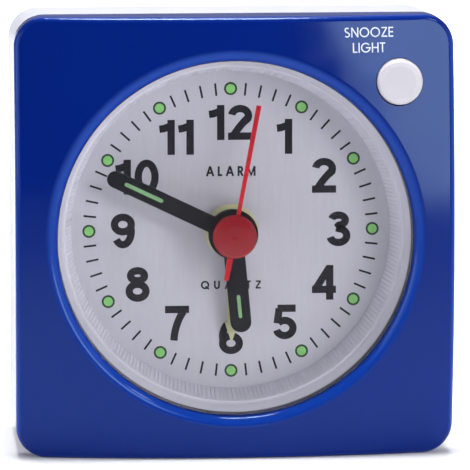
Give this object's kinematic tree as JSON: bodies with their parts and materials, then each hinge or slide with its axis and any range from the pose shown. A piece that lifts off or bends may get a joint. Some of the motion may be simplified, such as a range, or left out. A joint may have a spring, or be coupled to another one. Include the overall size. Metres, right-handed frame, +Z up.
{
  "type": "alarm clock",
  "caption": "Square quartz travel alarm clock with a bulged face, round dial window, four centre hands, a snooze button and rear setting knobs.",
  "frame": {"origin": "on the resting surface, under the middle of the clock's box", "axes": "+Z up, the dial faces -Y, +X to the right as seen from the front; hinge axes of hands point +Y, clockwise on the dial"},
  "size_m": [0.057, 0.0334, 0.0575],
  "materials": {
    "blue_plastic": "glossy injection-moulded",
    "white_plastic": "satin injection-moulded",
    "button_plastic": "glossy",
    "clear_plastic": "clear, polished",
    "ring_plastic": "frosted, ribbed",
    "dial_sheet": "silver paint, printed",
    "black_hand": "black satin paint",
    "red_hand": "red gloss paint",
    "red_cap": "glossy",
    "yellow_hand": "yellow satin paint",
    "lume": "luminous paint",
    "gear_plastic": "moulded acetal",
    "magnet": "sintered",
    "lamination": "stamped",
    "copper": "enamelled wire",
    "brass_leaf": "stamped",
    "steel": "bright",
    "nickel": "plated",
    "board": "laminate",
    "resin": "potted",
    "ceramic": "fired",
    "bulb_glass": "clear",
    "cell_wrap": null,
    "black_plastic": "fine texture"
  },
  "bodies": {
    "case": {"front_case": "blue_plastic", "rear_case": "white_plastic", "lens": "clear_plastic", "dial_ring": "ring_plastic", "dial": "dial_sheet", "movement_front_plate": "black_plastic", "movement_back_plate": "black_plastic", "movement_screws": "steel", "stator": "lamination", "coil_core": "lamination", "coil_bobbin": "black_plastic", "coil_winding": "copper", "circuit_board": "board", "board_spacers": "black_plastic", "chip_cover": "resin", "quartz_crystal": "nickel", "buzzer_disc": "brass_leaf", "buzzer_ceramic": "ceramic", "alarm_contact_spring": "brass_leaf", "snooze_spring": "steel", "switch_leaf": "brass_leaf", "switch_board": "board", "dial_lamp": "bulb_glass", "battery": "cell_wrap", "battery_positive_contact": "nickel", "battery_negative_spring": "nickel", "case_screws": "steel"},
    "seconds": {"second_hand": "red_hand", "second_hand_cap": "red_cap", "seconds_wheel": "gear_plastic"},
    "third": {"third_wheel": "gear_plastic"},
    "centre": {"centre_wheel": "gear_plastic"},
    "intermediate": {"intermediate_wheel": "gear_plastic"},
    "rotor": {"rotor_pinion": "gear_plastic", "rotor_magnet": "magnet"},
    "minutes": {"minute_hand": "black_hand", "minute_hand_lume": "lume", "cannon_pinion": "gear_plastic"},
    "time_setting": {"minute_wheel": "gear_plastic", "time_set_knob": "white_plastic"},
    "hours": {"hour_hand": "black_hand", "hour_hand_lume": "lume", "hour_wheel": "gear_plastic"},
    "alarm": {"alarm_hand": "yellow_hand", "alarm_wheel": "gear_plastic"},
    "alarm_setting": {"alarm_set_gear": "gear_plastic", "alarm_set_knob": "white_plastic"},
    "snooze": {"snooze_button": "button_plastic"},
    "alarm_slider": {"alarm_switch": "white_plastic", "alarm_switch_wiper": "brass_leaf"},
    "battery_door": {"battery_cover": "white_plastic"}
  },
  "joints": [
    {"name": "seconds_turn", "type": "hinge", "parent": "case", "child": "seconds", "pos_m": [0, 0, 0.02875], "axis": [0, 1, 0], "continuous": true},
    {"name": "third_turn", "type": "hinge", "parent": "case", "child": "third", "pos_m": [0, 0, 0.03555], "axis": [0, 1, 0], "continuous": true},
    {"name": "centre_turn", "type": "hinge", "parent": "case", "child": "centre", "pos_m": [0, 0, 0.02875], "axis": [0, 1, 0], "continuous": true},
    {"name": "intermediate_turn", "type": "hinge", "parent": "case", "child": "intermediate", "pos_m": [0, 0, 0.02155], "axis": [0, 1, 0], "continuous": true},
    {"name": "rotor_turn", "type": "hinge", "parent": "case", "child": "rotor", "pos_m": [0.0056, 0, 0.02155], "axis": [0, 1, 0], "continuous": true},
    {"name": "minutes_turn", "type": "hinge", "parent": "case", "child": "minutes", "pos_m": [0, 0, 0.02875], "axis": [0, 1, 0], "continuous": true},
    {"name": "time_knob_turn", "type": "hinge", "parent": "case", "child": "time_setting", "pos_m": [0.00672, 0, 0.02875], "axis": [0, 1, 0], "continuous": true},
    {"name": "hours_turn", "type": "hinge", "parent": "case", "child": "hours", "pos_m": [0, 0, 0.02875], "axis": [0, 1, 0], "continuous": true},
    {"name": "alarm_turn", "type": "hinge", "parent": "case", "child": "alarm", "pos_m": [0, 0, 0.02875], "axis": [0, 1, 0], "continuous": true},
    {"name": "alarm_knob_turn", "type": "hinge", "parent": "case", "child": "alarm_setting", "pos_m": [-0.00672, 0, 0.02875], "axis": [0, 1, 0], "continuous": true},
    {"name": "snooze_press", "type": "slide", "parent": "case", "child": "snooze", "axis": [0, 1, 0], "range_m": [0, 0.0012], "stiffness_N_per_m": 400, "springref_m": -0.0006, "deforming": ["snooze_spring"]},
    {"name": "alarm_switch_slide", "type": "slide", "parent": "case", "child": "alarm_slider", "axis": [0, 0, 1], "range_m": [0, 0.003]},
    {"name": "battery_door_swing", "type": "hinge", "parent": "case", "child": "battery_door", "pos_m": [0, 0.0137, 0.00195], "axis": [-1, 0, 0], "range_deg": [0, 75]}
  ],
  "couplings": [
    {"joint": "intermediate_turn", "follows": "seconds_turn", "ratio": -5},
    {"joint": "rotor_turn", "follows": "seconds_turn", "ratio": 30},
    {"joint": "third_turn", "follows": "seconds_turn", "ratio": -0.13333},
    {"joint": "centre_turn", "follows": "seconds_turn", "ratio": 0.016667},
    {"joint": "time_knob_turn", "follows": "minutes_turn", "ratio": -0.33333},
    {"joint": "hours_turn", "follows": "minutes_turn", "ratio": 0.083333},
    {"joint": "alarm_knob_turn", "follows": "alarm_turn", "ratio": -2.5}
  ]
}
